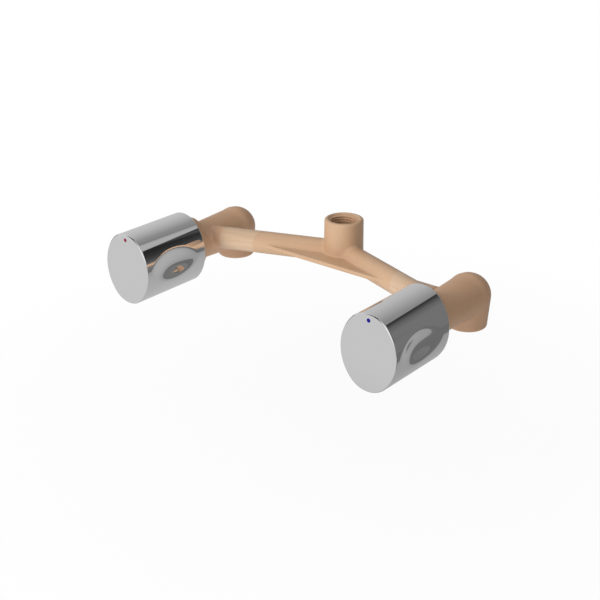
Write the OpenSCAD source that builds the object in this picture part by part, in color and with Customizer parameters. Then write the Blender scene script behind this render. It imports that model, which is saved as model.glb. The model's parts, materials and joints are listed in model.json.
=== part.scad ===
// Twin-handle mixing valve: a cast body with two elbow inlets and a central outlet,
// and on each side a quarter-turn ceramic headwork turned by an oval knob.
// Millimetres. X runs along the valve from hot to cold, Y points to the wall, Z is up.
// The origin lies on the outlet's axis, where its thread begins below the lead-in chamfer.

/* [Layout] */
// Distance between the two valve axes
valve_spacing = 200; // [160:1:260]
// Height of the outlet's mouth above the valve axes
outlet_height = 28.8; // [24:0.2:60]
// Height of the arms' axes above the valve axes, at the outlet
arm_rise = 4.4; // [3:0.1:6]
// How far the arms' axes drop on the way to the necks, in degrees
arm_drop = 0.8; // [0:0.1:1.2]
// How far the arms sweep forward, in degrees
arm_sweep = 18.9; // [14:0.1:21]
// Radius of an arm
arm_r = 7.85; // [7.4:0.05:9]
// Thickness of the web between the arms
web_t = 2.9; // [2:0.1:5]
// Distance of the web's front edge from the outlet's axis
web_reach = 25; // [20:0.5:28]
// Distance of the corner gussets' back edges from the outlet's axis
gusset_reach = 11; // [8:0.5:18]
// Distance of the web's middle below the arms' axes
web_drop = 0.7; // [0:0.1:2]

/* [Outlet and inlets] */
// Radius of the outlet boss at its mouth
boss_r = 13.3; // [12.8:0.1:16]
// Casting draft of the boss, added at its foot
boss_draft = 0.4; // [0:0.1:1]
// Distance of the boss's foot below the arms
boss_foot = 0.8; // [0.4:0.1:2]
// Round along the boss's foot
boss_foot_round = 5; // [3:0.5:7]
// Depth of the outlet's thread
outlet_thread = 15; // [10:0.5:17]
// Radius of an elbow's dome
dome_r = 14.5; // [13.8:0.1:16]
// Radius of an elbow's leg at its foot
leg_r = 13.1; // [12:0.1:14]
// Length of an elbow's leg below the valve axis
leg_length = 21; // [19:0.5:40]
// Depth of an inlet's thread
inlet_thread = 13; // [10:0.5:14]
// Thread radius of outlet, inlets and headworks
thread_r = 10.48; // [10.3:0.01:10.8]
// Length of the lead-in chamfer on each thread
lead_in = 0.8; // [0.3:0.1:1.2]
// Radius of the waterways in the arms
water_r = 5.5; // [4:0.1:6]
// Radius of the waterways behind the outlet's and inlets' threads
port_r = 7; // [5.5:0.1:8.5]

/* [Necks and collars] */
// Radius of a neck where it leaves the elbow
neck_back_r = 14.4; // [13.4:0.1:15.5]
// Radius of a neck at its collar
neck_front_r = 12.6; // [12.3:0.1:13.2]
// Distance of a collar's back from the elbow's leg axis
collar_back = 43.5; // [42:0.5:48]
// Length of a collar
collar_length = 8.7; // [6:0.1:12]
// Half width of a collar
collar_half_w = 13.2; // [13:0.1:17]
// Half height of a collar
collar_half_h = 18.9; // [15:0.1:21]
// Radius of a collar's top and bottom ends
collar_end_r = 10.2; // [8:0.1:12]
// Radius of the edge round on castings
cast_round = 1; // [0.4:0.1:1.4]
// Distance of the valve seat from the elbow's leg axis
seat_out = 20.5; // [18:0.5:22]
// Radius of the hole through the valve seat
seat_r = 6; // [4.5:0.1:6.4]
// Radius of the chamber in front of the seat
chamber_r = 9.3; // [9.1:0.1:9.8]
// Depth of the thread that takes the headwork
head_thread = 12; // [9:0.5:13]

/* [Knob] */
// Height of the oval knob
knob_h = 49.8; // [46:0.2:56]
// Width of the oval knob
knob_w = 39.9; // [38:0.1:44]
// Radius of the oval's top and bottom ends
knob_end_r = 17; // [16:0.2:18.5]
// Length of the knob
knob_length = 55.3; // [50:0.1:64]
// Running gap between the knob's rear edge and the collar
knob_gap = 1; // [0.6:0.1:3]
// Wall of the knob's shell
knob_wall = 2; // [1.4:0.1:2.6]
// Round along the rim of the knob's face
rim_round = 0.8; // [0.3:0.1:1.5]
// Round along the knob's rear edge
rear_round = 0.6; // [0.2:0.1:0.9]
// Depth of each thumb scoop
scoop_depth = 4.3; // [3:0.1:5]
// Half length of each thumb scoop, along the knob
scoop_half_l = 18.7; // [15:0.1:23]
// Half height of each thumb scoop
scoop_half_h = 10.1; // [8:0.1:13]
// Distance of the scoops' middle behind the knob's face
scoop_back = 25.8; // [22:0.1:30]
// Thickness of the knob's face
front_wall = 2.2; // [1.8:0.1:3]
// Radius of the hub inside the knob
hub_r = 8.5; // [8:0.1:10]
// Radius of an index dot
dot_r = 1.25; // [0.8:0.05:3]
// Distance of an index dot's middle below the knob's upper edge
dot_inset = 4.1; // [3:0.1:8]
// Depth that an index dot is let into the face
dot_depth = 0.6; // [0.3:0.1:1.2]
// Thickness of the ribs that carry the hub
rib_t = 1.6; // [1.2:0.1:2.4]
// Length of the ribs behind the face
rib_back = 15; // [10:0.5:18]
// Radius of the boss round the grub screw
grub_boss_r = 4.2; // [3.8:0.1:5]

/* [Headwork] */
// Radius of the ceramic discs
disc_r = 7.4; // [7:0.1:7.6]
// Thickness of the fixed disc
fixed_t = 3; // [2:0.1:4]
// Thickness of the moving disc
moving_t = 3.5; // [3:0.1:4]
// Thickness of the seat seal
seal_t = 3; // [2:0.1:4]
// Height of the undercut in the seal's inner edge
seal_lip = 0.8; // [0.4:0.1:1]
// Inner radius of the discs' ports
port_in = 2.2; // [1.8:0.1:3]
// Rim left outside the discs' ports
port_rim = 1.2; // [0.9:0.1:2]
// Width of a disc's port, in degrees
port_angle = 80; // [60:1:84]
// Distance of the cage's end from the valve seat
cage_clear = 0.6; // [0.4:0.1:1.2]
// Wall of the headwork's cage
cage_wall = 1.1; // [0.8:0.1:1.4]
// Length of the windows in the cage
window_l = 5.5; // [4:0.5:6]
// Width of the windows in the cage
window_w = 9; // [6:0.5:10]
// Inner radius of the two stops in the cage
stop_r = 6.2; // [5.8:0.1:6.6]
// Angle that each stop lug of the spindle spans, in degrees
lug_angle = 40; // [30:1:50]
// Free turn past each end of the quarter turn, in degrees
stop_play = 2; // [1:0.5:4]
// Thickness of the washer under the flange
washer_t = 1.3; // [0.8:0.1:1.6]
// Radius of the headwork's flange
flange_r = 12.8; // [12:0.1:13]
// Thickness of the headwork's flange
flange_t = 2; // [1.5:0.1:3]
// Width of the hexagon across its flats
hex_af = 22; // [20:0.5:24]
// Length of the hexagon
hex_l = 6.5; // [5:0.5:8]
// Bevel at the hexagon's corners
hex_bevel = 1.2; // [0.6:0.1:1.8]
// Radius of the headwork's outer neck
gland_r = 8.2; // [7.5:0.1:8.4]
// Length of the headwork's outer neck
gland_l = 8.5; // [7:0.5:10]

/* [Spindle] */
// Radius of the spindle's shaft
shaft_r = 4.95; // [4.6:0.05:5.2]
// Root radius of the splined end
spline_r = 3.7; // [3.4:0.05:4]
// Height of the splines
spline_h = 0.35; // [0.2:0.05:0.45]
// Number of splines
spline_n = 20; // [12:1:24]
// Length of the splined end
spline_l = 10.5; // [9:0.5:12]
// Width of the driver bar
driver_w = 3.2; // [2.6:0.1:4]
// Depth that the driver bar enters the moving disc
driver_in = 1.2; // [0.8:0.1:1.6]
// Radius of the stem between the driver bar and the flange
stem_r = 3.2; // [2.6:0.1:4]
// Thickness of the spindle's flange
foot_t = 2.4; // [1.6:0.1:3]
// Thickness of the thrust washer
thrust_t = 0.9; // [0.6:0.1:1.2]
// Width of the O-rings' grooves
ring_t = 1.9; // [1.5:0.1:2.2]
// Depth of the O-rings' grooves
groove = 1.4; // [1:0.1:1.6]
// Distance between the two O-rings' grooves
ring_pitch = 4.1; // [3:0.1:5]
// Thickness of the spring clip
clip_t = 0.8; // [0.6:0.1:1]
// Height of the spring clip's ring
clip_w = 2.25; // [1.8:0.05:3]
// Depth of the clip's groove
clip_groove = 0.7; // [0.4:0.1:1]
// Radius of the spline insert
insert_r = 6.2; // [5.6:0.1:6.6]
// Length of the spline insert
insert_l = 11.5; // [10:0.5:13]
// Radius of the grub screw
grub_r = 2.45; // [2:0.05:2.8]
// Length of the grub screw
grub_l = 9; // [7:0.5:11]
// Length of the grub screw's cone point
grub_point = 1.2; // [0.6:0.1:1.8]
// Width of the grub screw's hexagon socket across its flats
key_af = 2.5; // [2:0.1:3]

/* [Clearances] */
// Running clearance of a shaft in its bore
run_gap = 0.05; // [0.02:0.01:0.08]
// Radial clearance of a piece that sits in another
seat_gap = 0.1; // [0.05:0.01:0.2]
// Clearance between faces that slide on each other
slip_gap = 0.05; // [0.03:0.01:0.15]

/* [Hidden] */
$fn = 64;

bronze = [0.78, 0.62, 0.48];
chrome = [0.8, 0.8, 0.82];
brass = [0.8, 0.68, 0.36];
ceramic = [0.93, 0.92, 0.88];
rubber = [0.12, 0.12, 0.12];
steel = [0.6, 0.6, 0.63];
nylon = [0.9, 0.9, 0.86];

HOT = -1;
COLD = 1;
CUT = 1;   // how far a cut runs past the face that it opens
QUARTER = 90;       // turn between a valve's closed and open ends, in degrees
MARGIN = 0.5;       // between the moving disc and the cage's windows
FOOT_MARGIN = 0.4;  // between the windows and the spindle's flange
CLIP_MARGIN = 1;    // between the spring clip and the splines
HUB_LIFT = 0.2;     // between the splines' inner end and the hub
RING_MARGIN = 1.5;  // between the hexagon's inner face and the first O-ring's groove
THREAD_MARGIN = 1;  // of the neck's thread left free behind the headwork's
WASHER_INSET = 0.2; // of the washer's rim inside the flange's
FACE_SKIN = 1;      // of the knob's face left outside the hub and the ribs
half_spacing = valve_spacing / 2;
mouth_z = lead_in;
axis_z = mouth_z - outlet_height;

// Stations along a valve axis, as distances out from the elbow's leg axis
collar_front = collar_back + collar_length;
knob_rear = collar_front + knob_gap;
knob_face = knob_rear + knob_length;
fixed_out = seat_out + seal_t;
moving_out = fixed_out + fixed_t + slip_gap;
disc_top = moving_out + moving_t;
driver_out = disc_top - driver_in + slip_gap;
window_out = disc_top + MARGIN;
foot_out = window_out + window_l + FOOT_MARGIN;
thrust_out = foot_out + foot_t + slip_gap;
shoulder_out = thrust_out + thrust_t + slip_gap;
flange_out = collar_front + washer_t;
hex_out = flange_out + flange_t;
gland_out = hex_out + hex_l;
gland_end = gland_out + gland_l;
clip_out = gland_end + slip_gap;
spline_out = clip_out + clip_t + CLIP_MARGIN;
hub_out = spline_out + HUB_LIFT;
first_ring_out = hex_out + RING_MARGIN;

// Places one valve's pieces: local Z runs out along the valve axis and local Y is up
module on_valve(side) {
    translate([side * half_spacing, 0, axis_z])
        rotate([90, 0, 0])
            children();
}

module tube(r_out, r_in, h) {
    difference() {
        cylinder(r = r_out, h = h);
        translate([0, 0, -CUT])
            cylinder(r = r_in, h = h + 2 * CUT);
    }
}

// Points of a quarter round that turns the corner (r, z) of a profile into an arc
function corner(r, z, round, from, steps = 5) =
    [for (i = [0 : steps]) let (a = from + 90 * i / steps) [r + round * cos(a), z + round * sin(a)]];

// A disc with both edges rounded, the building block of the ovals
module rounded_disc(r, h, low_round, high_round) {
    rotate_extrude($fn = 128)
        polygon(concat(
            [[0, 0]],
            corner(r - low_round, low_round, low_round, -90),
            corner(r - high_round, h - high_round, high_round, 0),
            [[0, h]]));
}

// A four-centred oval, narrow along X: two end arcs and two flatter side arcs that meet in tangents
function side_radius(half_w, half_h, end_r) =
    (half_w * half_w + (half_h - end_r) * (half_h - end_r) - end_r * end_r) / (2 * (half_w - end_r));

module oval(half_w, half_h, end_r, h, low_round, high_round) {
    side_r = side_radius(half_w, half_h, end_r);
    end_y = half_h - end_r;
    side_x = side_r - half_w;
    join_y = end_y * side_r / (side_r - end_r);
    for (s = [-1, 1])
        translate([0, s * end_y, 0])
            rounded_disc(end_r, h, low_round, high_round);
    intersection() {
        translate([side_x, 0, 0])
            rounded_disc(side_r, h, low_round, high_round);
        translate([-side_x, 0, 0])
            rounded_disc(side_r, h, low_round, high_round);
        translate([-half_w, -join_y, 0])
            cube([2 * half_w, 2 * join_y, h]);
    }
}

// The outlet boss: drafted sides, a softened mouth and a rounded foot below the arms
module boss() {
    foot = arm_rise - arm_r - boss_foot;
    foot_r = boss_r + boss_draft;
    translate([0, 0, axis_z])
        rotate_extrude($fn = 96)
            polygon(concat(
                [[0, foot]],
                corner(foot_r - boss_foot_round, foot + boss_foot_round, boss_foot_round, -90, 8),
                corner(boss_r - cast_round, outlet_height - cast_round, cast_round, 0),
                [[0, outlet_height]]));
}

// One arm, drawn for the cold side
arm_length = half_spacing / cos(arm_sweep);

module along_arm() {
    translate([0, 0, axis_z + arm_rise])
        rotate([0, arm_drop, -arm_sweep])
            children();
}

module arm() {
    along_arm()
        rotate([0, 90, 0])
            cylinder(r = arm_r, h = arm_length);
}

// Plates on the casting's parting plane
module on_parting() {
    translate([0, 0, axis_z + arm_rise - web_drop - web_t / 2])
        linear_extrude(web_t)
            children();
}

// The web reaches from arm to arm in front of the boss
module web() {
    web_half = web_reach / tan(arm_sweep);
    on_parting()
        polygon([[0, 0], [web_half, -web_reach], [-web_half, -web_reach]]);
}

// The gusset fills the corner between an arm's back and its neck
module gusset() {
    on_parting()
        polygon([
            [gusset_reach / tan(arm_sweep), -gusset_reach],
            [half_spacing, -gusset_reach],
            [half_spacing, -half_spacing * tan(arm_sweep)]]);
}

// One elbow: a dome on the valve axis and a tapered leg that ends in a soft edge
module elbow() {
    translate([half_spacing, 0, axis_z]) {
        sphere(r = dome_r, $fn = 96);
        rotate_extrude($fn = 96)
            polygon(concat(
                [[0, 0], [0, -leg_length]],
                corner(leg_r - cast_round, cast_round - leg_length, cast_round, -90),
                [[dome_r, 0]]));
    }
}

// One neck with the oval collar that the headwork screws into
module neck() {
    on_valve(COLD) {
        cylinder(r1 = neck_back_r, r2 = neck_front_r, h = collar_back + cast_round, $fn = 96);
        translate([0, 0, collar_back])
            oval(collar_half_w, collar_half_h, collar_end_r, collar_length, cast_round, cast_round / 2);
    }
}

// A tapped hole that opens towards local Z, its mouth at the origin
module tapped(depth) {
    translate([0, 0, -depth])
        cylinder(r = thread_r, h = depth + CUT);
    translate([0, 0, -lead_in])
        cylinder(r1 = thread_r, r2 = thread_r + lead_in, h = lead_in);
}

module side_waterways() {
    translate([half_spacing, 0, axis_z]) {
        translate([0, 0, -leg_length])
            rotate([180, 0, 0])
                tapped(inlet_thread);
        translate([0, 0, -leg_length + inlet_thread / 2])
            cylinder(r = port_r, h = leg_length - inlet_thread / 2);
        sphere(r = port_r);
    }
    on_valve(COLD) {
        cylinder(r = seat_r, h = seat_out + CUT);
        translate([0, 0, seat_out])
            cylinder(r = chamber_r, h = collar_front - seat_out);
        translate([0, 0, collar_front])
            tapped(head_thread);
    }
    along_arm()
        rotate([0, 90, 0])
            cylinder(r = water_r, h = arm_length);
}

module outlet_waterway() {
    translate([0, 0, mouth_z])
        tapped(outlet_thread);
    translate([0, 0, axis_z + arm_rise - water_r])
        cylinder(r = port_r, h = outlet_height - arm_rise);
}

module both_sides() {
    children();
    mirror([1, 0, 0])
        children();
}

module mixer_body() {
    color(bronze)
        difference() {
            union() {
                boss();
                web();
                both_sides() {
                    arm();
                    gusset();
                    elbow();
                    neck();
                }
            }
            outlet_waterway();
            both_sides()
                side_waterways();
        }
}

// Quarter-turn headwork body: cage with two windows, male thread, flange, hexagon and outer neck
cage_r = disc_r + seat_gap;
cage_out = seat_out + cage_clear;
thread_out = collar_front - head_thread + THREAD_MARGIN;

module hexagon() {
    hex_r = hex_af / 2 / cos(30);
    intersection() {
        cylinder(r = hex_r, h = hex_l, $fn = 6);
        cylinder(r1 = hex_r + hex_l, r2 = hex_r - hex_bevel, h = hex_l + hex_bevel * 0.6);
    }
}

// Two opposite sectors of a ring, centred on the angle a
module sectors(a, width, r_in, r_out, h) {
    for (turn = [0, 180])
        rotate([0, 0, a + turn - width / 2])
            rotate_extrude(angle = width)
                translate([r_in, 0])
                    square([r_out - r_in, h]);
}

// The stops fill what the spindle's lugs leave free in a quarter turn
module cage_stops(side) {
    translate([0, 0, foot_out])
        sectors(-side * 1.5 * QUARTER, QUARTER - lug_angle - 2 * stop_play, stop_r, cage_r + CUT / 2, foot_t);
}

module headwork(side) {
    color(brass)
        on_valve(side) {
            difference() {
                union() {
                    translate([0, 0, cage_out])
                        cylinder(r = cage_r + cage_wall, h = thread_out - cage_out + CUT);
                    translate([0, 0, thread_out])
                        cylinder(r = thread_r - seat_gap, h = flange_out - thread_out);
                    translate([0, 0, flange_out])
                        cylinder(r = flange_r, h = flange_t);
                    translate([0, 0, hex_out])
                        hexagon();
                    translate([0, 0, gland_out])
                        cylinder(r = gland_r, h = gland_l);
                }
                translate([0, 0, cage_out - CUT])
                    cylinder(r = cage_r, h = shoulder_out - cage_out + CUT);
                translate([0, 0, cage_out])
                    cylinder(r = shaft_r + run_gap, h = gland_end - cage_out + CUT);
                translate([-thread_r, -window_w / 2, window_out])
                    cube([2 * thread_r, window_w, window_l]);
            }
            cage_stops(side);
        }
}

module head_washer(side) {
    color(nylon)
        on_valve(side)
            translate([0, 0, collar_front])
                tube(flange_r - WASHER_INSET, thread_r + lead_in, washer_t);
}

// The seal's inner edge is undercut, so that water pressure spreads it
module seat_seal(side) {
    color(rubber)
        on_valve(side)
            translate([0, 0, seat_out])
                rotate_extrude()
                    polygon([[seat_r, 0], [disc_r, 0], [disc_r, seal_t], [seat_r, seal_t],
                        [seat_r, seal_t / 2 + seal_lip], [seat_r + seal_lip, seal_t / 2],
                        [seat_r, seal_t / 2 - seal_lip]]);
}

// Ports of a ceramic disc
module disc_ports(t) {
    translate([0, 0, -CUT])
        sectors(0, port_angle, port_in, disc_r - port_rim, t + 2 * CUT);
}

module fixed_disc(side) {
    color(ceramic)
        on_valve(side)
            translate([0, 0, fixed_out])
                difference() {
                    cylinder(r = disc_r, h = fixed_t);
                    disc_ports(fixed_t);
                }
}

// At rest the moving disc's ports lie a quarter turn from the fixed disc's, so the valve is shut
module moving_disc(side) {
    color(ceramic)
        on_valve(side)
            translate([0, 0, moving_out])
                rotate([0, 0, 90])
                    difference() {
                        cylinder(r = disc_r - seat_gap, h = moving_t);
                        disc_ports(moving_t);
                        translate([-driver_w / 2 - seat_gap, -disc_r, moving_t - driver_in])
                            cube([driver_w + 2 * seat_gap, 2 * disc_r, driver_in + CUT]);
                    }
}

// Outline of the splined end: teeth with flats on tip and root
function spline_points(root, tip) =
    [for (i = [0 : spline_n - 1]) each
        let (pitch = 360 / spline_n, a = i * pitch)
            [[root, a], [root, a + pitch * 0.35], [tip, a + pitch * 0.5], [tip, a + pitch * 0.85]]];

module spline_shape(root, tip, h) {
    linear_extrude(h)
        polygon([for (p = spline_points(root, tip)) [p[0] * cos(p[1]), p[0] * sin(p[1])]]);
}

module ring_grooves(r_in) {
    for (i = [0, 1])
        translate([0, 0, first_ring_out + i * ring_pitch])
            tube(shaft_r + CUT, r_in, ring_t);
}

// Driver bar, stem, a flange with two stop lugs, sealed shaft and splined end
module spindle(side) {
    stem_out = disc_top + slip_gap;
    bar_l = 2 * (disc_r - 2 * seat_gap);
    color(brass)
        on_valve(side) {
            intersection() {
                translate([-bar_l / 2, -driver_w / 2, driver_out])
                    cube([bar_l, driver_w, stem_out + 2 - driver_out]);
                translate([0, 0, driver_out])
                    cylinder(r = bar_l / 2, h = stem_out + 2 - driver_out);
            }
            translate([0, 0, stem_out])
                cylinder(r = stem_r, h = foot_out - stem_out + CUT);
            translate([0, 0, foot_out])
                cylinder(r = stop_r - seat_gap, h = foot_t);
            translate([0, 0, foot_out])
                sectors(0, lug_angle, stem_r, cage_r - seat_gap, foot_t);
            difference() {
                translate([0, 0, foot_out])
                    cylinder(r = shaft_r, h = spline_out - foot_out);
                ring_grooves(shaft_r - groove);
                translate([0, 0, clip_out])
                    tube(shaft_r + CUT, shaft_r - clip_groove, clip_t + slip_gap);
            }
            translate([0, 0, spline_out - CUT])
                spline_shape(spline_r, spline_r + spline_h, spline_l + CUT);
        }
}

module thrust_washer(side) {
    color(nylon)
        on_valve(side)
            translate([0, 0, thrust_out])
                tube(stop_r - seat_gap, shaft_r + 2 * run_gap, thrust_t);
}

module spindle_seals(side) {
    seal_round = (groove - slip_gap) / 2;
    color(rubber)
        on_valve(side)
            for (i = [0, 1])
                translate([0, 0, first_ring_out + i * ring_pitch + ring_t / 2])
                    rotate_extrude()
                        translate([shaft_r - seal_round, 0])
                            circle(r = seal_round);
}

module spindle_clip(side) {
    mouth = 4;
    color(steel)
        on_valve(side)
            translate([0, 0, clip_out])
                difference() {
                    tube(shaft_r - clip_groove + slip_gap + clip_w, shaft_r - clip_groove + slip_gap, clip_t);
                    translate([-mouth / 2, 0, -CUT])
                        cube([mouth, 2 * shaft_r, clip_t + 2 * CUT]);
                }
}

grub_out = hub_out + insert_l / 2;      // station of the grub screw
grub_tip = spline_r + spline_h + slip_gap;   // where its point stops, on the splines

module grub_hole(r) {
    translate([0, 0, grub_out])
        rotate([90, 0, 0])
            cylinder(r = r, h = knob_h);
}

module spline_insert(side) {
    color(nylon)
        on_valve(side)
            difference() {
                translate([0, 0, hub_out])
                    cylinder(r = insert_r, h = insert_l);
                translate([0, 0, hub_out - CUT])
                    spline_shape(spline_r + seat_gap, spline_r + spline_h + seat_gap, insert_l + 2 * CUT);
                grub_hole(grub_r + seat_gap);
            }
}

// Socket set screw with a cone point, under the knob
module grub_screw(side) {
    color(steel)
        on_valve(side)
            translate([0, -grub_tip, grub_out])
                rotate([90, 0, 0])
                    difference() {
                        union() {
                            cylinder(r1 = grub_r - grub_point, r2 = grub_r, h = grub_point);
                            translate([0, 0, grub_point])
                                cylinder(r = grub_r, h = grub_l - grub_point);
                        }
                        translate([0, 0, grub_l - key_af])
                            cylinder(r = key_af / 2 / cos(30), h = key_af + CUT, $fn = 6);
                    }
}

// A thumb scoop is a barrel whose axis runs along the knob; grow adds the wall behind it
knob_half_w = knob_w / 2;
knob_half_h = knob_h / 2;
dot_rise = knob_half_h - dot_inset;
knob_side_r = side_radius(knob_half_w, knob_half_h, knob_end_r);
scoop_edge_x = sqrt(knob_side_r * knob_side_r - scoop_half_h * scoop_half_h) - knob_side_r + knob_half_w;
scoop_floor_x = knob_half_w - scoop_depth;
scoop_drop = scoop_edge_x - scoop_floor_x;
scoop_r = (scoop_drop * scoop_drop + scoop_half_h * scoop_half_h) / (2 * scoop_drop);
scoop_arc = (scoop_half_l * scoop_half_l + scoop_depth * scoop_depth) / (2 * scoop_depth);

module scoops(grow) {
    for (s = [-1, 1])
        translate([s * (scoop_floor_x + scoop_r), 0, knob_face - scoop_back])
            rotate_extrude($fn = 128)
                intersection() {
                    translate([scoop_r - scoop_arc, 0])
                        circle(r = scoop_arc + grow, $fn = 128);
                    translate([0, -2 * scoop_arc])
                        square(4 * scoop_arc);
                }
}

module knob_oval(inset, from, to, low_round, high_round) {
    translate([0, 0, from])
        oval(knob_half_w - inset, knob_half_h - inset, knob_end_r - inset, to - from, low_round, high_round);
}

// Hub, ribs and screw boss inside the shell, trimmed to the shell's outline
module knob_inside() {
    intersection() {
        union() {
            translate([0, 0, hub_out])
                cylinder(r = hub_r, h = knob_face - hub_out - FACE_SKIN);
            translate([-rib_t / 2, -knob_half_h, knob_face - rib_back])
                cube([rib_t, knob_h, rib_back - FACE_SKIN]);
            translate([-knob_half_w, -rib_t / 2, knob_face - rib_back])
                cube([knob_w, rib_t, rib_back - FACE_SKIN]);
            translate([0, 0, grub_out])
                rotate([90, 0, 0])
                    cylinder(r = grub_boss_r, h = knob_half_h - knob_wall / 2);
        }
        knob_oval(knob_wall / 2, knob_rear, knob_face - FACE_SKIN, 0.1, 0.1);
    }
}

module knob(side) {
    color(chrome)
        on_valve(side)
            difference() {
                union() {
                    difference() {
                        knob_oval(0, knob_rear, knob_face, rear_round, rim_round);
                        difference() {
                            knob_oval(knob_wall, knob_rear - CUT, knob_face - front_wall, 0.1, 1);
                            scoops(knob_wall);
                        }
                    }
                    knob_inside();
                }
                scoops(0);
                translate([0, 0, hub_out - CUT])
                    cylinder(r = insert_r + slip_gap, h = insert_l + CUT + seat_gap);
                grub_hole(grub_r + slip_gap);
                translate([0, dot_rise, knob_face - dot_depth])
                    cylinder(r = dot_r + slip_gap, h = dot_depth + CUT);
            }
}

module index_dot(side, colour) {
    color(colour)
        on_valve(side)
            translate([0, dot_rise, knob_face - dot_depth])
                cylinder(r = dot_r, h = dot_depth);
}

mixer_body();
headwork(HOT);  // hot_headwork
head_washer(HOT);  // hot_head_washer
seat_seal(HOT);  // hot_seat_seal
fixed_disc(HOT);  // hot_fixed_disc
moving_disc(HOT);  // hot_moving_disc
spindle(HOT);  // hot_spindle
thrust_washer(HOT);  // hot_thrust_washer
spindle_seals(HOT);  // hot_spindle_seals
spindle_clip(HOT);  // hot_spindle_clip
spline_insert(HOT);  // hot_spline_insert
grub_screw(HOT);  // hot_grub_screw
knob(HOT);  // hot_knob
index_dot(HOT, "red");  // hot_index_dot
headwork(COLD);  // cold_headwork
head_washer(COLD);  // cold_head_washer
seat_seal(COLD);  // cold_seat_seal
fixed_disc(COLD);  // cold_fixed_disc
moving_disc(COLD);  // cold_moving_disc
spindle(COLD);  // cold_spindle
thrust_washer(COLD);  // cold_thrust_washer
spindle_seals(COLD);  // cold_spindle_seals
spindle_clip(COLD);  // cold_spindle_clip
spline_insert(COLD);  // cold_spline_insert
grub_screw(COLD);  // cold_grub_screw
knob(COLD);  // cold_knob
index_dot(COLD, "blue");  // cold_index_dot
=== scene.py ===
import json
import math

import bpy
import numpy as np
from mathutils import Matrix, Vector


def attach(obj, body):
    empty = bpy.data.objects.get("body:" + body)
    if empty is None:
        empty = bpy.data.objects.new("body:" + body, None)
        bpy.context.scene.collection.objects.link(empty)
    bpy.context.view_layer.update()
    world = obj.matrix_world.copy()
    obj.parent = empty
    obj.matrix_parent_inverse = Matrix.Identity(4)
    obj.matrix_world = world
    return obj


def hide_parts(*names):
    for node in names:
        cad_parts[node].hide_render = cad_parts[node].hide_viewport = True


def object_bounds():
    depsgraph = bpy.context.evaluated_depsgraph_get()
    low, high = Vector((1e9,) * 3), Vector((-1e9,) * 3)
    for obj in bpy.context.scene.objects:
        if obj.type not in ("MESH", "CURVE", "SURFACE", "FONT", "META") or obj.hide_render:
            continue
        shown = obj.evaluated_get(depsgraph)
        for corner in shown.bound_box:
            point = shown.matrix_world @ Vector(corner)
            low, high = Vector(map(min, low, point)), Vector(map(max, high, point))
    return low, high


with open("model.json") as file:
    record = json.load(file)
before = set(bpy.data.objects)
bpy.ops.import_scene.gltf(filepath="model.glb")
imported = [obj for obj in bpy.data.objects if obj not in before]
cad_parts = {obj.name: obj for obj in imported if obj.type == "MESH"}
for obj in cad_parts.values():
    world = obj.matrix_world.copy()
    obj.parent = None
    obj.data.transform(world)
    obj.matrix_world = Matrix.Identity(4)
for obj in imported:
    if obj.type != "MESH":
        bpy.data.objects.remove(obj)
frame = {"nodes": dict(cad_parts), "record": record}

# The casting and both knobs are built again here, with their fillets and their threads' turns. Every
# other piece is the part's own solid with a finish. Shapes are worked out in millimetres from the outlet's
# axis and the plane of the valve axes, and to_row turns them into metres in the row frame.

cad_lo, cad_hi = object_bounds()

MM = 0.001
SIDES = {"hot": -1, "cold": 1}

# Sizes of the object, in millimetres and degrees, as the part has them
valve_spacing = 200.0
outlet_height = 28.8      # outlet's mouth above the valve axes
lead_in = 0.8             # the frame's origin lies this far down the outlet, where its thread begins
arm_rise = 4.4            # arms' axes above the valve axes, at the outlet
arm_drop = 0.8            # an arm's fall towards its neck
arm_sweep = 18.9          # an arm's lean towards the knobs
arm_r = 7.85
web_t = 2.9
web_drop = 0.7            # web's middle below the arms' axes
web_reach = 25.0          # web's front edge ahead of the outlet's axis
gusset_reach = 11.0       # gussets' back edges ahead of the outlet's axis
boss_r = 13.3
boss_draft = 0.4
boss_foot = 0.8           # boss's foot below the arms
dome_r = 14.5
leg_r = 13.1              # at the leg's mouth
leg_length = 21.0
neck_back_r = 14.4
neck_front_r = 12.6
collar_back = 43.5        # collar's back ahead of the leg's axis
collar_length = 8.7
collar_half_w = 13.2
collar_half_h = 18.9
collar_end_r = 10.2
seat_out = 20.5           # valve seat ahead of the leg's axis
chamber_r = 9.3
head_thread = 13.0        # 1 mm more than the part's, out of sight round the headwork
knob_gap = 1.0
knob_length = 55.3
knob_w = 39.9
knob_h = 49.8
knob_end_r = 17.0
thread_r = 10.48
thread_minor_r = 9.32
thread_pitch = 1.814
outlet_thread = 15.0
inlet_thread = 13.0
port_r = 7.0

half_spacing = valve_spacing / 2
collar_front = collar_back + collar_length
knob_rear = collar_front + knob_gap
knob_face = knob_rear + knob_length


def to_row(points):
    """Points measured in millimetres from the valve axes' plane, as metres in the row frame."""
    p = np.array(points, float)
    p[:, 2] -= outlet_height - lead_in
    return p * MM


# Node trees

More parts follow.
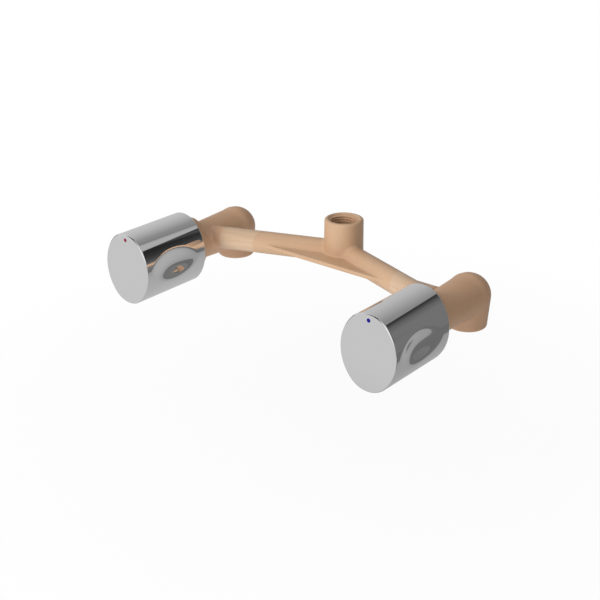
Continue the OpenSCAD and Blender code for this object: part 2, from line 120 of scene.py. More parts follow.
class Tree:
    """Short calls for the nodes of one material or of the world."""

    def __init__(self, tree):
        self.tree = tree

    def node(self, kind, **values):
        n = self.tree.nodes.new(kind)
        for key, value in values.items():
            setattr(n, key, value)
        return n

    def feed(self, socket, value):
        """Links an output to the socket, or sets the socket's own number or colour."""
        if hasattr(value, "is_output"):
            self.tree.links.new(value, socket)
        elif isinstance(value, tuple):
            socket.default_value = (*value, 1.0)
        else:
            socket.default_value = value

    def math(self, operation, a, b=None):
        n = self.node("ShaderNodeMath", operation=operation)
        self.feed(n.inputs[0], a)
        if b is not None:
            self.feed(n.inputs[1], b)
        return n.outputs[0]

    def spread(self, value, low, high, to_low=0.0, to_high=1.0, kind="LINEAR"):
        """The value's range from low to high, spread over another range and held at its ends."""
        n = self.node("ShaderNodeMapRange", interpolation_type=kind)
        self.feed(n.inputs["Value"], value)
        for key, limit in (("From Min", low), ("From Max", high), ("To Min", to_low), ("To Max", to_high)):
            n.inputs[key].default_value = limit
        return n.outputs["Result"]

    def ramp(self, source, stops):
        """A colour ramp; each stop is a place and its grey level or colour."""
        n = self.node("ShaderNodeValToRGB")
        elements = n.color_ramp.elements
        for i, (place, tone) in enumerate(sorted(stops)):
            e = elements[i] if i < 2 else elements.new(place)
            e.position = place
            e.color = (*tone, 1.0) if isinstance(tone, tuple) else (tone, tone, tone, 1.0)
        self.feed(n.inputs["Fac"], source)
        return n.outputs["Color"]

    def mix(self, factor, a, b, blend_type="MIX"):
        n = self.node("ShaderNodeMix", data_type="RGBA", blend_type=blend_type)
        for socket, value in ((n.inputs[0], factor), (n.inputs[6], a), (n.inputs[7], b)):
            self.feed(socket, value)
        return n.outputs[2]

    def times(self, a, b):
        return self.mix(1.0, a, b, "MULTIPLY")

    def split(self, vector):
        n = self.node("ShaderNodeSeparateXYZ")
        self.feed(n.inputs[0], vector)
        return n.outputs

    def shader(self, kind, colour):
        n = self.node(kind)
        self.feed(n.inputs["Color"], colour)
        return n.outputs[0]

    def either(self, factor, a, b):
        """The first shader where the factor is 0 and the second where it is 1."""
        n = self.node("ShaderNodeMixShader")
        for socket, value in zip(n.inputs, (factor, a, b)):
            self.feed(socket, value)
        return n.outputs[0]


# Materials; noise scales are per metre and colours are linear

WIDE = (0.3, 0.7)         # share of a noise's values over which two tones change
NARROW = (0.35, 0.65)


class Finish(Tree):
    """One material, whose noises lie in the coordinates of the piece that wears it."""

    def __init__(self, name):
        self.material = bpy.data.materials.new(name)
        self.material.use_nodes = True
        super().__init__(self.material.node_tree)
        self.inputs = self.tree.nodes["Principled BSDF"].inputs
        self.place = self.node("ShaderNodeTexCoord").outputs["Object"]

    def set(self, **values):
        for key, value in values.items():
            self.feed(self.inputs[key.replace("_", " ")], value)

    def noise(self, scale, detail=3.0, place=None):
        n = self.node("ShaderNodeTexNoise")
        n.inputs["Scale"].default_value = scale
        n.inputs["Detail"].default_value = detail
        self.feed(n.inputs["Vector"], place or self.place)
        return n.outputs["Fac"]

    def tones(self, noise, low, high, share=WIDE):
        """Two colours that change with a noise."""
        return self.ramp(noise, list(zip(share, (low, high))))

    def rough(self, scale, low, high, detail=3.0):
        """A roughness that wanders between two values."""
        return self.spread(self.noise(scale, detail), *WIDE, low, high)

    def bump(self, heights, distance):
        normal = None
        for height in heights:
            n = self.node("ShaderNodeBump")
            n.inputs["Distance"].default_value = distance
            self.feed(n.inputs["Height"], height)
            if normal is not None:
                self.feed(n.inputs["Normal"], normal)
            normal = n.outputs["Normal"]
        self.set(Normal=normal)


def cast_bronze():
    """As-cast bronze. The arms' outer ends are ground and smoother. Their paler, streaked colour is partly
    that finish and partly painted sheen, with painted highlight lines along the arm. Necks and elbows carry
    a painted redder tint for the warm bounce light in their shade.
    """
    cast_tones = ((0.60, 0.38, 0.228), (0.65, 0.42, 0.258))
    # Paler tones of the ground ends: partly their finish, partly painted sheen of the front light
    ground_and_sheen_tones = ((0.62, 0.42, 0.27), (0.70, 0.49, 0.33))
    grain_tones = ((0.94, 0.94, 0.94), (1.0, 1.0, 1.0))
    painted_bounce_tint = (1.01, 0.945, 0.91)      # painted shade tint: necks and elbows, in the knobs' shade, are a little redder for warm bounce light
    ground_sheen_from, ground_sheen_to, fade = 0.0583, 0.0828, 0.0006      # metres aside of the outlet's axis
    stretch = 0.04                        # how much slower the streaks change along an arm; the streaks are grinding marks with painted highlight lines
    polish = 0.08                         # how much smoother the ground ends are
    blotch_scale, haze_scale, grit_scale = 45.0, 220.0, 1400.0
    streak_scale = 900.0                  # across an arm
    lump_scales = (1100.0, 160.0)
    lump_height = 0.03 * MM
    roughness = (0.42, 0.55)

    s = Finish("cast_bronze")
    x, y, z = s.split(s.place)
    aside = s.math("ABSOLUTE", x)

    def change(place, before, after):
        return s.spread(aside, place - fade, place + fade, before, after)

    # The ground band at the arms' outer ends: smoother, and paler with painted sheen
    ground_and_sheen = s.math("MULTIPLY", change(ground_sheen_from, 0.0, 1.0), change(ground_sheen_to, 1.0, 0.0))
    lean = math.radians(arm_sweep)
    across = s.math("ADD", s.math("MULTIPLY", aside, math.sin(lean)), s.math("MULTIPLY", y, math.cos(lean)))
    fibre = s.node("ShaderNodeCombineXYZ")
    for socket, value in zip(fibre.inputs, (s.math("MULTIPLY", aside, stretch), across, z)):
        s.feed(socket, value)
    # Streaks along the arm: grinding marks, and painted highlight lines where ground facets meet
    grinding_and_highlight_streaks = s.noise(streak_scale, 2.0, fibre.outputs[0])

    cast = s.tones(s.noise(blotch_scale), *cast_tones)
    # Necks and elbows tinted: painted warm bounce light of the knobs' shade
    cast = s.mix(change(ground_sheen_to, 0.0, 1.0), cast, s.times(cast, painted_bounce_tint))
    # The band's streaked paler colour: ground finish with painted sheen and painted highlight lines
    colour = s.mix(ground_and_sheen, cast, s.tones(grinding_and_highlight_streaks, *ground_and_sheen_tones, NARROW))
    grain = s.tones(s.noise(grit_scale, 2.0), *grain_tones, NARROW)
    rough = s.math("SUBTRACT", s.rough(haze_scale, *roughness), s.math("MULTIPLY", ground_and_sheen, polish))
    s.set(Metallic=0.15, Specular_IOR_Level=1.0, Base_Color=s.times(colour, grain), Roughness=rough)
    s.bump([s.noise(lump_scales[0]), s.noise(lump_scales[1], 2.0)], lump_height)
    return s.material


chrome_tone = 0.88
chrome_blue = 0.885


def chrome_plate():
    haze_scale = 90.0
    roughness = (0.03, 0.06)
    s = Finish("chrome_plate")
    s.set(Metallic=1.0, Base_Color=(chrome_tone, chrome_tone, chrome_blue),
          Roughness=s.rough(haze_scale, *roughness, 4.0))
    return s.material


def plain(name, low, high, rough, metallic=0.0, shine=0.5):
    """A finish of two close tones broken by fine noise, with a matching fine bump."""
    grain = 700.0
    grain_height = 0.01 * MM
    wander = 0.15         # share by which the roughness goes up and down
    s = Finish(name)
    s.set(Metallic=metallic, Specular_IOR_Level=shine, Base_Color=s.tones(s.noise(grain), low, high),
          Roughness=s.rough(grain / 3, rough * (1 - wander), rough * (1 + wander)))
    s.bump([s.noise(grain * 2)], grain_height)
    return s.material


FINISH = {"cast_bronze": cast_bronze(), "chrome_plate": chrome_plate()}
for name, look in {
    "brass": dict(low=(0.70, 0.50, 0.20), high=(0.78, 0.58, 0.26), rough=0.28, metallic=1.0),
    "ceramic": dict(low=(0.80, 0.79, 0.75), high=(0.86, 0.85, 0.81), rough=0.22),
    "rubber": dict(low=(0.018, 0.018, 0.018), high=(0.03, 0.03, 0.03), rough=0.6),
    "steel": dict(low=(0.50, 0.50, 0.52), high=(0.60, 0.60, 0.62), rough=0.3, metallic=1.0),
    "nylon": dict(low=(0.72, 0.72, 0.68), high=(0.78, 0.78, 0.74), rough=0.45),
    "hot_mark": dict(low=(0.18, 0.008, 0.030), high=(0.22, 0.012, 0.038), rough=0.3, shine=0.15),
    "cold_mark": dict(low=(0.006, 0.003, 0.17), high=(0.009, 0.004, 0.20), rough=0.3, shine=0.15),
}.items():
    FINISH[name] = plain(name, **look)

for part in frame["record"]["subparts"]:
    node = frame["nodes"][part["node"]]
    node.data.materials.clear()
    node.data.materials.append(FINISH[part["material_slot"]])


# Pieces and the shapes that cut them

def new_object(name, vertices, faces, body, slot, replaces):
    """A mesh piece that rides on a body; vertices are metres in the row frame."""
    mesh = bpy.data.meshes.new(name)
    mesh.from_pydata([tuple(v) for v in vertices], [], faces)
    mesh.validate()
    piece = bpy.data.objects.new(name, mesh)
    bpy.context.scene.collection.objects.link(piece)
    mesh.materials.append(FINISH[slot])
    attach(piece, body)
    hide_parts(*replaces)
    return piece


def smooth(piece, angle):
    """Smooth shading with creases kept where faces meet at more than the angle."""
    piece.data.shade_smooth()
    piece.data.set_sharp_from_angle(angle=math.radians(angle))


UP = np.eye(3)
DOWN = np.diag([1.0, -1.0, -1.0])
OUT = np.array([[1.0, 0, 0], [0, 0, -1.0], [0, 1.0, 0]])      # local Z to -Y
OUT_UPRIGHT = OUT @ np.array([[0, -1.0, 0], [1.0, 0, 0], [0, 0, 1.0]])      # and local X to Z


def tool(name, shape, turn, place):
    """A shape in millimetres, turned and placed, that is added to or taken from a piece."""
    points, faces = shape
    mesh = bpy.data.meshes.new(name)
    mesh.from_pydata([tuple(p) for p in to_row(points @ turn.T + np.array(place))], [], faces)
    return bpy.data.objects.new(name, mesh)


def cut(piece, cutters, added=()):
    """Adds and takes away tools, and leaves the result as the piece's mesh."""
    tools = [*added, *cutters]
    for c in tools:
        bpy.context.scene.collection.objects.link(c)
        m = piece.modifiers.new(c.name, "BOOLEAN")
        m.object = c
        m.operation = "UNION" if c in added else "DIFFERENCE"
        m.solver = "MANIFOLD"
    bpy.context.view_layer.update()
    graph = bpy.context.evaluated_depsgraph_get()
    result = bpy.data.meshes.new_from_object(piece.evaluated_get(graph))
    result.name = piece.data.name + "_cut"
    piece.modifiers.clear()
    piece.data = result
    for c in tools:
        bpy.data.objects.remove(c)


def tube(rings, turned=False):
    """Closed mesh through rings of as many points each; turned swaps its inside and its outside."""
    count = len(rings[0])
    last = (len(rings) - 1) * count
    start, end = [*range(count)][::-1], [*range(last, last + count)]
    walls = []
    for row in range(0, last, count):
        for j in range(count):
            a, b = row + j, row + (j + 1) % count
            walls.append([a, a + count, b + count, b] if turned else [a, b, b + count, a + count])
    caps = (start[::-1], end[::-1]) if turned else (start, end)
    return np.concatenate(rings), [caps[0], *walls, caps[1]]


# A thread is a ripple of the radius along a helix

past_mouth = 2.0          # how far a cutter runs beyond the mouth that it opens
mouth_chamfer = 0.85
head_chamfer = 0.8
thread_flat = 0.12        # share of a half turn that is flat at a crest or a root
thread_rows = 12          # rows of points in one turn
thread_run_in = 1.0       # length over which a thread rises from its blind end
thread_relief = 0.1
row_gap = 0.05            # between a thread's rows and the plain walls at its ends
lathe_points = 96         # round a lathed shape


def thread_wave(turns):
    """Height of a rounded 55 degree thread, from 0 at the crest to 1 at the root."""
    saw = np.abs((turns % 1.0) * 2 - 1)
    return np.clip((saw - thread_flat) / (1 - 2 * thread_flat), 0, 1)


def lathe(profile, around=lathe_points):
    """Closed mesh round local Z; profile rows are (z, radius) or (z, radius, thread depth)."""
    share = np.arange(around) / around
    angle = share * 2 * np.pi
    rings = []
    for z, r, *rest in profile:
        depth = rest[0] if rest else 0.0
        wavy = r + depth * thread_wave(z / thread_pitch - share)
        rings.append(np.stack([wavy * np.cos(angle), wavy * np.sin(angle), np.full(around, float(z))], -1))
    return tube(rings)


def rod(low, high, radius, around=lathe_points):
    return lathe([(low, radius), (high, radius)], around)


def threaded_bore(depth, port_end):
    """Profile of a tapped hole that opens at z = 0, with its port below."""
    deep = thread_r - thread_minor_r
    rows = [(-port_end, port_r), (-depth, port_r), (-depth, thread_r - thread_relief)]
    for z in np.arange(-depth + row_gap, -mouth_chamfer - row_gap, thread_pitch / thread_rows):
        rise = min(1.0, (z + depth) / thread_run_in)
        rows.append((z, thread_r - deep * rise, deep * rise))
    wide = thread_r + mouth_chamfer
    return [*rows, (-mouth_chamfer, thread_r), (0.0, wide), (past_mouth, wide)]


def head_bore():
    """Profile of the headwork's hole, from the valve seat to the collar's mouth at z = 0."""
    wide = thread_r + head_chamfer
    return [(seat_out - collar_front, chamber_r), (-head_thread, chamber_r), (-head_thread, thread_r),
            (-head_chamfer, thread_r), (0.0, wide), (past_mouth, wide)]


# The casting, as a distance field whose pieces melt into each other like cast fillets

boss_mouth_round = 1.6
boss_foot_round = 7.0
web_round = 0.7
leg_round = 1.8
collar_back_round = 1.6
collar_front_round = 0.8
neck_overlap = 2.0        # how far a neck runs into its collar
neck_fillet = 1.0
arm_fillet = 0.8
collar_fillet = 1.2
boss_fillet = 2.0
web_fillet = 1.2
port_overlap = 5.0        # how far the outlet's port runs past the arms' axes
grid_step = 0.8
grid_aside, grid_ahead, grid_below, grid_above = 18.0, 2.0, 3.0, 2.5      # room round the casting
casting_crease = 40.0


def length(*parts):
    return np.sqrt(sum(p * p for p in parts))


def blend(a, b, k):
    """Union of two distance fields with a fillet of about k."""
    h = np.maximum(k - np.abs(a - b), 0.0) / k
    return np.minimum(a, b) - h * h * k * 0.25


def both(a, b, k=0.0):
    """Intersection of two distance fields, its edge rounded by about k."""
    if k == 0.0:
        return np.maximum(a, b)
    return -blend(-a, -b, k)


def side_radius(half_w, half_h, end_r):
    """Radius of a four-centred oval's side arcs."""
    rise = half_h - end_r
    return (half_w ** 2 + rise ** 2 - end_r ** 2) / (2 * (half_w - end_r))


def oval_distance(x, z, half_w, half_h, end_r):
    """Distance to a four-centred oval, narrow along x."""
    side_r = side_radius(half_w, half_h, end_r)
    end_z = half_h - end_r
    side_x = side_r - half_w
    ax, az = np.abs(x), np.abs(z)
    on_end = (az - end_z) * side_x > ax * end_z
    return np.where(on_end, length(ax, az - end_z) - end_r, length(ax + side_x, az) - side_r)


def arm_axes(p):
    """Distances along, across and above one arm's axis; the arm drops and sweeps as the part's does."""
    x, y, z = np.abs(p[..., 0]), p[..., 1], p[..., 2] - arm_rise
    c, s = math.cos(math.radians(arm_sweep)), math.sin(math.radians(arm_sweep))
    along, across = x * c - y * s, x * s + y * c
    c, s = math.cos(math.radians(arm_drop)), math.sin(math.radians(arm_drop))
    return along * c - z * s, across, along * s + z * c


def casting(p):
    """Distance in millimetres from the outside of the casting, measured from the valve axes' plane."""
    x, y, z = np.abs(p[..., 0]), p[..., 1], p[..., 2]
    aside, out = x - half_spacing, -y
    along, across, above = arm_axes(p)
    arm = both(length(across, above) - arm_r, along - half_spacing / math.cos(math.radians(arm_sweep)))

    foot = arm_rise - arm_r - boss_foot
    boss = length(x, y) - boss_r - boss_draft * (outlet_height - z) / (outlet_height - foot)
    boss = both(both(boss, z - outlet_height, boss_mouth_round), foot - z, boss_foot_round)

    slab = np.abs(z - (arm_rise - web_drop)) - web_t / 2
    web = both(both(slab, out - web_reach, web_round), across)
    gusset = both(both(slab, gusset_reach - out, web_round), np.maximum(-across, aside))

    slope = (neck_front_r - neck_back_r) / collar_back
    neck = length(aside, z) - neck_back_r - slope * out
    neck = both(neck, np.maximum(-out, out - collar_back - neck_overlap))
    dome = length(aside, y, z) - dome_r
    taper = (dome_r - leg_r) / leg_length
    leg = both(both(length(aside, y) - dome_r - taper * z, -leg_length - z, leg_round), z)
    collar = oval_distance(aside, z, collar_half_w, collar_half_h, collar_end_r)
    collar = both(both(collar, collar_back - out, collar_back_round), out - collar_front, collar_front_round)

    body = blend(neck, np.minimum(dome, leg), neck_fillet)
    body = blend(body, arm, arm_fillet)
    body = blend(body, collar, collar_fillet)
    body = blend(body, boss, boss_fillet)
    return blend(body, np.minimum(web, gusset), web_fillet)


def surface_net(field, low, high, step):
    """A quad mesh of the field's zero level: one point in each crossed cell, then moved onto the surface."""
    low, high = np.array(low, float), np.array(high, float)
    n = np.ceil((high - low) / step).astype(int) + 1
    axes = [low[i] + step * np.arange(n[i]) for i in range(3)]
    value = np.empty(n)
    for i, x in enumerate(axes[0]):
        yy, zz = np.meshgrid(axes[1], axes[2], indexing="ij")
        value[i] = field(np.stack([np.full_like(yy, x), yy, zz], -1))
    inside = value < 0

    points, index = cell_points(value, inside, n)
    points = low + step * points
    faces = np.concatenate([net_faces(inside, index, n, axis) for axis in range(3)])

    rounds, reach = 4, 0.4 * step      # how often, and how far each time, a point may move
    for _ in range(rounds):
        points = points - np.clip(field(points), -reach, reach)[:, None] * gradient(field, points)
    return points, faces


def cell_points(value, inside, n):
    """Each crossed cell's point, the mean of its edges' crossings in cells, and the points' numbers."""
    crossed = np.zeros(n - 1, bool)
    total = np.zeros((*(n - 1), 3))
    count = np.zeros(n - 1)

    def shifted(array, corner):
        return array[tuple(slice(corner[i], array.shape[i] - 1 + corner[i]) for i in range(3))]

    for a in [(i, j, k) for i in (0, 1) for j in (0, 1) for k in (0, 1)]:
        for axis in range(3):
            if a[axis]:
                continue
            b = tuple(1 if i == axis else a[i] for i in range(3))
            va, vb = shifted(value, a), shifted(value, b)
            hit = shifted(inside, a) != shifted(inside, b)
            t = np.where(hit, va / np.where(hit, va - vb, 1.0), 0.0)
            for i in range(3):
                total[..., i] += hit * (a[i] + (t if i == axis else 0.0))
            count += hit
            crossed |= hit
    cells = np.argwhere(crossed)
    index = np.full(n - 1, -1)
    index[crossed] = np.arange(len(cells))
    return cells + total[crossed] / count[crossed][:, None], index


def net_faces(inside, index, n, axis):
    """A quad round each grid edge along one axis that passes through the surface."""
    u, v = (axis + 1) % 3, (axis + 2) % 3
    first, second = [slice(None)] * 3, [slice(None)] * 3
    first[axis] = slice(0, n[axis] - 1)
    second[axis] = slice(1, n[axis])
    change = inside[tuple(first)] != inside[tuple(second)]
    edges = np.argwhere(change)
    leaving = inside[tuple(first)][change]
    ring = []
    for du, dv in ((0, 0), (-1, 0), (-1, -1), (0, -1)):
        cell = edges.copy()
        cell[:, u] += du
        cell[:, v] += dv
        ring.append(index[cell[:, 0], cell[:, 1], cell[:, 2]])
    ring = np.stack(ring, 1)
    ring[~leaving] = ring[~leaving][:, ::-1]
    return ring


def gradient(field, points):
    """The field's direction of growth at each point, of length 1."""
    h = 0.02      # millimetres to either side
    g = np.stack([field(points + h * e) - field(points - h * e) for e in np.eye(3)], -1)
    return g / np.maximum(np.linalg.norm(g, axis=1), 1e-9)[:, None]


def make_casting():
    low = (-half_spacing - grid_aside, -collar_front - grid_ahead, -leg_length - grid_below)
    high = (half_spacing + grid_aside, grid_aside, outlet_height + grid_above)
    points, faces = surface_net(casting, low, high, grid_step)
    piece = new_object("casting", to_row(points), faces.tolist(), "root", "cast_bronze", ["mixer_body"])
    outlet = lathe(threaded_bore(outlet_thread, outlet_height - arm_rise + port_overlap))
    inlet = lathe(threaded_bore(inlet_thread, leg_length))
    head = lathe(head_bore())
    cutters = [tool("outlet_cut", outlet, UP, (0, 0, outlet_height))]
    for side, sign in SIDES.items():
        x = sign * half_spacing
        cutters.append(tool(side + "_inlet_cut", inlet, DOWN, (x, 0, -leg_length)))
        cutters.append(tool(side + "_head_cut", head, OUT, (x, -collar_front, 0)))
    cut(piece, cutters)
    smooth(piece, casting_crease)


make_casting()


# Knobs

rim_round = 0.8
rear_round = 0.6
knob_wall = 2.0
front_wall = 2.2
scoop_depth = 4.3
scoop_half_l = 16.7
scoop_half_h = 9.1
scoop_back = 25.8         # scoops' middle behind the face
scoop_rim = 4.3           # how far a scoop's rim is softened, which widens the scoop to the part's size
hub_r = 8.5
hub_out = 72.55           # hub's rear end ahead of the leg's axis
insert_r = 6.2
insert_l = 11.5
insert_play = 0.1
rib_t = 1.6
rib_back = 15.0           # ribs' rear ends behind the face
in_front_wall = 1.0       # ribs and hub end this far behind the face, inside the front wall
grub_out = 78.3           # grub screw ahead of the leg's axis
grub_r = 2.45
grub_boss_r = 4.2
dot_r = 1.25
dot_depth = 0.6
dot_rise = knob_h / 2 - 4.1
slip_gap = 0.05
overcut = 1.0             # how far a cutter runs beyond the wall that it opens
knob_grid = (360, 150)    # points round the shell and rings along it
face_margin = 0.02        # the face's flat begins this far inside the rim's round
inner_start = 0.3         # the inner wall's first ring ahead of the rear edge
rim_rings = 8
rear_rings = 6
inner_rings = 30
rib_stations = 12
dot_around = 48
knob_crease = 50.0


def oval_ring(count, half_w, half_h, end_r):
    """Points and outward normals round a four-centred oval, closely even in spacing."""
    side_r = side_radius(half_w, half_h, end_r)
    end_z = half_h - end_r
    side_x = side_r - half_w
    join = math.atan2(end_z, side_x)      # normal's tilt where side and end arcs meet
    side_l, end_l = side_r * join, end_r * (math.pi / 2 - join)
    quarter = side_l + end_l
    run = np.arange(count) / count * 4 * quarter
    k = (run // quarter).astype(int)
    s = run - k * quarter
    s = np.where(k % 2 == 1, quarter - s, s)
    on_side = s < side_l
    tilt = np.where(on_side, s / side_r, join + (s - side_l) / end_r)
    x = np.where(on_side, side_r * np.cos(tilt) - side_x, end_r * np.cos(tilt))
    z = np.where(on_side, side_r * np.sin(tilt), end_r * np.sin(tilt) + end_z)
    sx = np.where((k == 1) | (k == 2), -1.0, 1.0)
    sz = np.where(k >= 2, -1.0, 1.0)
    return np.stack([x * sx, z * sz], -1), np.stack([np.cos(tilt) * sx, np.sin(tilt) * sz], -1)


def scoop_wall(z, out):
    """How far from the knob's axis the scoops' walls stand, at a height and a station."""
    nowhere = 1e3         # beyond the scoops
    most = 0.98           # share of the arc's radius, short of its end
    side_r = side_radius(knob_w / 2, knob_h / 2, knob_end_r)
    edge_x = math.sqrt(side_r ** 2 - scoop_half_h ** 2) - side_r + knob_w / 2
    floor_x = knob_w / 2 - scoop_depth
    drop = edge_x - floor_x
    r = (drop ** 2 + scoop_half_h ** 2) / (2 * drop)
    arc = (scoop_half_l ** 2 + scoop_depth ** 2) / (2 * scoop_depth)
    dy = np.clip(np.abs(out - (knob_face - scoop_back)), 0, arc * most)
    here = np.sqrt(arc ** 2 - dy ** 2) - arc + r
    zz = np.clip(np.abs(z), 0, np.maximum(here, 0.0))
    wall = floor_x + r - np.sqrt(np.maximum(here ** 2 - zz ** 2, 0.0))
    return np.where(np.abs(z) < here, wall, nowhere)


def quarter_turn(count):
    """Angles that divide a quarter turn into equal steps."""
    return [i / count * math.pi / 2 for i in range(1, count + 1)]


def knob_mesh(around, rows):
    """The knob's shell, open at the rear, in valve coordinates: x, out along the axis, z."""
    ring, normal = oval_ring(around, knob_w / 2, knob_h / 2, knob_end_r)
    rings = []

    def add_ring(inset, out, behind=0.0, scooped=True):
        """One ring; behind is how far it lies behind the scoops' walls."""
        x, z = (ring - normal * inset).T
        if scooped:
            x = np.sign(x) * blend(np.abs(x), scoop_wall(z, out) - behind, scoop_rim)
        rings.append(np.stack([x, np.full(around, out), z], -1))

    add_ring(rim_round + face_margin, knob_face, scooped=False)
    for a in quarter_turn(rim_rings):
        add_ring(rim_round * (1 - math.sin(a)), knob_face - rim_round * (1 - math.cos(a)))
    for out in np.linspace(knob_face - rim_round, knob_rear + rear_round, rows)[1:]:
        add_ring(0.0, out)
    for a in quarter_turn(rear_rings):
        add_ring(rear_round * (1 - math.cos(a)), knob_rear + rear_round * (1 - math.sin(a)))
    add_ring(knob_wall, knob_rear)
    for out in np.linspace(knob_rear + inner_start, knob_face - front_wall, inner_rings):
        add_ring(knob_wall, out, behind=knob_wall)
    return tube(rings, turned=True)


def rib_shape(stations, reach):
    """A flat rib across the knob; reach gives its half length at each station along the axis."""
    corners = ((-1, -1), (1, -1), (1, 1), (-1, 1))
    return tube([np.array([(sx * r, st * rib_t / 2, out) for sx, st in corners])
                 for out, r in zip(stations, reach)])


def make_knobs():
    points, faces = knob_mesh(*knob_grid)
    stations = np.linspace(knob_face - rib_back, knob_face - in_front_wall, rib_stations)
    reach = np.minimum(scoop_wall(np.zeros(rib_stations), stations), knob_w / 2) - knob_wall / 2
    rise = (knob_h - knob_wall) / 2
    rib_across = rib_shape(stations, reach)
    rib_upright = rib_shape(stations, np.full(rib_stations, rise))
    hub = rod(hub_out, knob_face - in_front_wall, hub_r)
    socket = rod(hub_out - overcut, hub_out + insert_l + insert_play, insert_r + slip_gap)
    grub_way = rod(0, knob_h, grub_r + slip_gap)
    grub_boss = rod(0, rise, grub_boss_r)
    dot_pocket = rod(-dot_depth, overcut, dot_r + slip_gap, dot_around)
    for side, sign in SIDES.items():
        x = sign * half_spacing
        placed = np.stack([points[:, 0] + x, -points[:, 1], points[:, 2]], -1)
        piece = new_object(side + "_knob_shell", to_row(placed), faces, side + "_turn", "chrome_plate",
                           [side + "_knob"])
        axis, below, dot = (x, 0, 0), (x, -grub_out, 0), (x, -knob_face, dot_rise)
        cut(piece, [
            tool("socket", socket, OUT, axis),
            tool("grub_way", grub_way, DOWN, below),
            tool("dot_pocket", dot_pocket, OUT, dot),
        ], [
            tool("hub", hub, OUT, axis),
            tool("rib_across", rib_across, OUT, axis),
            tool("rib_upright", rib_upright, OUT_UPRIGHT, axis),
            tool("grub_boss", grub_boss, DOWN, below),
        ])
        smooth(piece, knob_crease)


make_knobs()


# Floor, in metres

floor_drop = 0.10         # how far the floor lies below the valve
floor_radius = 0.60
floor_points = 96
shadow_share = 0.09       # how much of the floor's own shading the camera sees, at its middle
shadow_span = (0.12, 0.45)      # distances from the middle over which that share fades
floor_tone = (0.85, 0.85, 0.85)
bounce = 1.1              # how much brighter than in the chrome the floor is for the soft light
light_pool_span = (-0.5, 0.5)  # from the hot side to the cold side, the glow's painted pool of light runs along this
# Painted pool of light in the floor's glow, falling off towards the cold side, with a painted dark step near
# its end
light_pool_greys = [(0.0, 0.62), (0.12, 0.60), (0.30, 0.52), (0.42, 0.46), (0.60, 0.42), (0.70, 0.37),
               (0.84, 0.335), (0.86, 0.165), (1.0, 0.155)]
near_span = (-0.05, -0.30)      # over these places along Y the glowing pool changes to its near grey
near_grey = (0.62, 0.62, 0.62)
WHITE = (1.0, 1.0, 1.0)


def make_floor():
    """A pale floor with the valve's shadow. The chrome and the soft light see it glow as a painted pool of
    light, darker on the cold side.
    """
    ring = [2 * math.pi * i / floor_points for i in range(floor_points)]
    z = cad_lo.z - floor_drop
    mesh = bpy.data.meshes.new("floor")
    mesh.from_pydata([(floor_radius * math.cos(a), floor_radius * math.sin(a), z) for a in ring], [],
                     [[*range(floor_points)]])
    floor = bpy.data.objects.new("floor", mesh)
    bpy.context.scene.collection.objects.link(floor)
    material = bpy.data.materials.new("floor")
    material.use_nodes = True
    mesh.materials.append(material)

    t = Tree(material.node_tree)
    t.tree.nodes.clear()
    place = t.node("ShaderNodeTexCoord").outputs["Object"]
    x, y, _ = t.split(place)
    path = t.node("ShaderNodeLightPath").outputs
    # The glow: a painted pool of light that the chrome reflects and that lights the casting
    light_pool = t.ramp(t.spread(x, *light_pool_span, kind="SMOOTHSTEP"), light_pool_greys)
    light_pool = t.mix(t.spread(y, *near_span, kind="SMOOTHSTEP"), light_pool, near_grey)
    glow = t.shader("ShaderNodeEmission", light_pool)
    brighter = t.math("MULTIPLY", path["Is Diffuse Ray"], bounce)
    t.feed(glow.node.inputs["Strength"], t.math("ADD", 1.0, brighter))
    seen = t.either(path["Is Camera Ray"], glow, t.shader("ShaderNodeBsdfDiffuse", floor_tone))

    n = t.node("ShaderNodeVectorMath", operation="LENGTH")
    t.feed(n.inputs[0], place)
    whitened = t.spread(n.outputs["Value"], *shadow_span, 1.0 - shadow_share, 1.0, "SMOOTHSTEP")
    whitened = t.math("MULTIPLY", path["Is Camera Ray"], whitened)
    seen = t.either(whitened, seen, t.shader("ShaderNodeEmission", WHITE))
    t.feed(t.node("ShaderNodeOutputMaterial").inputs["Surface"], seen)


make_floor()


# World; azimuths run in degrees from +X to +Y, and elevations up from the horizon

glow_azimuth = -92.0      # where the broad soft light comes from
glow_elevation = 0.0
glow_share = (-0.75, 0.5)      # cosines from that direction between which its strength changes
glow_range = (0.22, 0.70)      # its strength behind and in front
edge_plane = (0.064, 0.733)    # the canopy's edge, where z is so many parts of x and of y
edge_soft = 0.005

# Greys from 0 to 255 that the chrome shows at a few azimuths, with even changes between them. Above the
# canopy's edge: a bright end, a dark seam at 60 degrees and one long rise. Below it: a dim side, a step at
# 75 degrees and a rise to the same level.
high_greys = ((20, 150), (47, 170), (54, 170), (60, 120), (66, 135), (74, 135), (140, 190), (200, 200),
              (300, 190), (359, 150))
low_greys = ((0, 120), (60, 110), (72, 115), (77, 145), (98, 155), (110, 170), (140, 190), (220, 200),
             (300, 160), (359, 120))

# Dark curtains under the canopy's edge: azimuths at which each begins, is full, is still full and has
# ended, and the light that is left at distances below the edge
curtains = (
    ((22, 36, 47, 49.5),
     ((-0.50, 1.0), (-0.42, 0.5), (-0.32, 0.3), (-0.24, 0.2), (-0.10, 0.12), (0.0, 0.10))),
    ((47, 49.5, 72, 80),
     ((-0.28, 1.0), (-0.17, 0.75), (-0.10, 0.5), (-0.05, 0.28), (-0.02, 0.16), (0.0, 0.16))),
)

# Areas laid over all that, each with its azimuths, its elevations and its light
soft_box = ((-112, -100, -45, -25), (-6, 6, 40, 60), 1.15)      # in front
boom = ((-133, -129, -86, -80), (5, 9, 82, 86), 0.01)           # the dark tick on each knob's rim
flag = ((158, 163, 200, 205), (-14, -10, 8, 12), 0.03)          # the dark line up the rims' left


def grey(level):
    """Scene light whose reflection in the chrome renders as this 8 bit grey."""
    return ((level / 255 + 0.055) / 1.055) ** 2.4 / chrome_tone


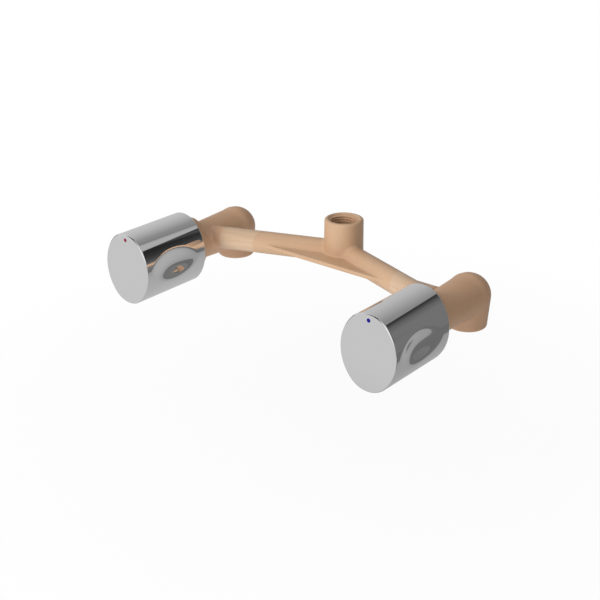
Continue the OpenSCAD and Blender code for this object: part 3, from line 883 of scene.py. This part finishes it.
def fades(places):
    """Ramp stops that rise from dark over the first two places and fall back over the last two."""
    return list(zip(places, (0.0, 1.0, 1.0, 0.0)))


def turns(azimuths):
    return [a % 360 / 360 for a in azimuths]


def rises(elevations):
    return [e / 180 + 0.5 for e in elevations]


def studio_light(t, x, y, z):
    """What the chrome reflects: a canopy with a straight edge, dark curtains, and areas laid over both."""
    turn = t.math("DIVIDE", t.math("ARCTAN2", y, x), 2 * math.pi)
    turn = t.math("FRACT", t.math("ADD", turn, 1.0))
    rise = t.math("ADD", t.math("DIVIDE", t.math("ARCSINE", z), math.pi), 0.5)
    across, behind = edge_plane
    lean = t.math("ADD", t.math("MULTIPLY", x, -across), t.math("MULTIPLY", y, -behind))
    edge = t.math("ADD", t.math("ADD", z, 0.5), lean)      # 0.5 on the canopy's edge, and less below it

    high, low = [t.ramp(turn, [(a / 360, grey(v)) for a, v in greys]) for greys in (high_greys, low_greys)]
    for azimuths, left in curtains:
        hangs = t.ramp(turn, fades(turns(azimuths)))
        low = t.times(low, t.mix(hangs, WHITE, t.ramp(edge, [(0.5 + v, light) for v, light in left])))
    studio = t.mix(t.ramp(edge, [(0.5 - edge_soft, 0.0), (0.5 + edge_soft, 1.0)]), low, high)
    for azimuths, elevations, light in (soft_box, boom, flag):
        wide, tall = t.ramp(turn, fades(turns(azimuths))), t.ramp(rise, fades(rises(elevations)))
        area = t.math("MULTIPLY", wide, tall)
        studio = t.mix(area, studio, (light, light, light))
    return studio


def soft_light(t, x, y, z):
    """What lights the casting: grey all round, and brighter towards the front."""
    a, e = math.radians(glow_azimuth), math.radians(glow_elevation)
    parts = [t.math("MULTIPLY", v, w) for v, w in
             ((x, math.cos(a) * math.cos(e)), (y, math.sin(a) * math.cos(e)), (z, math.sin(e)))]
    toward = t.math("ADD", t.math("ADD", parts[0], parts[1]), parts[2])
    return t.spread(toward, *glow_share, *glow_range, "SMOOTHSTEP")


def make_world():
    """White to the camera, the soft light to the casting and the studio in reflections."""
    world = bpy.data.worlds.new("studio")
    bpy.context.scene.world = world
    world.use_nodes = True
    t = Tree(world.node_tree)
    t.tree.nodes.clear()
    direction = t.split(t.node("ShaderNodeTexCoord").outputs["Generated"])
    path = t.node("ShaderNodeLightPath").outputs
    seen = t.either(path["Is Glossy Ray"], t.shader("ShaderNodeBackground", soft_light(t, *direction)),
                    t.shader("ShaderNodeBackground", studio_light(t, *direction)))
    seen = t.either(path["Is Camera Ray"], seen, t.shader("ShaderNodeBackground", WHITE))
    t.feed(t.node("ShaderNodeOutputWorld").inputs["Surface"], seen)


make_world()


# Key light, which the chrome doesn't reflect

key_place = (-0.22, -1.05, 0.42)
key_size = 0.5
key_power = 8.0
key_aim = (0.0, -45.0, 0.0)      # millimetres, measured from the valve axes' plane


def make_key_light():
    data = bpy.data.lights.new("key", "AREA")
    data.shape = "DISK"
    data.size = key_size
    data.energy = key_power
    light = bpy.data.objects.new("key", data)
    light.location = key_place
    target = Vector(to_row([key_aim])[0])
    light.rotation_euler = (target - Vector(key_place)).to_track_quat("-Z", "Y").to_euler()
    light.visible_glossy = False
    bpy.context.scene.collection.objects.link(light)


make_key_light()


# Camera at the photograph's place, fitted to the outlines of knobs, boss and elbows

view_azimuth = 39.25
view_elevation = 23.92
view_distance = 834.3
aim = (-38.62, 0.0, -42.66)      # millimetres, measured from the valve axes' plane
focal_px = 1154.34
photo_px = 600
sensor = 36.0
clip_near, clip_far = 0.05, 20


def make_camera():
    data = bpy.data.cameras.new("camera")
    data.sensor_width = sensor
    data.lens = focal_px / photo_px * sensor
    data.clip_start, data.clip_end = clip_near, clip_far
    camera = bpy.data.objects.new("camera", data)
    a, e = math.radians(view_azimuth), math.radians(view_elevation)
    back = Vector((math.sin(a) * math.cos(e), -math.cos(a) * math.cos(e), math.sin(e)))
    target = Vector(to_row([aim])[0])
    camera.location = target + back * (view_distance * MM)
    camera.rotation_mode = "QUATERNION"
    camera.rotation_quaternion = (-back).to_track_quat("-Z", "Y")
    bpy.context.scene.collection.objects.link(camera)
    bpy.context.scene.camera = camera


make_camera()
bpy.context.scene.view_settings.view_transform = "Standard"
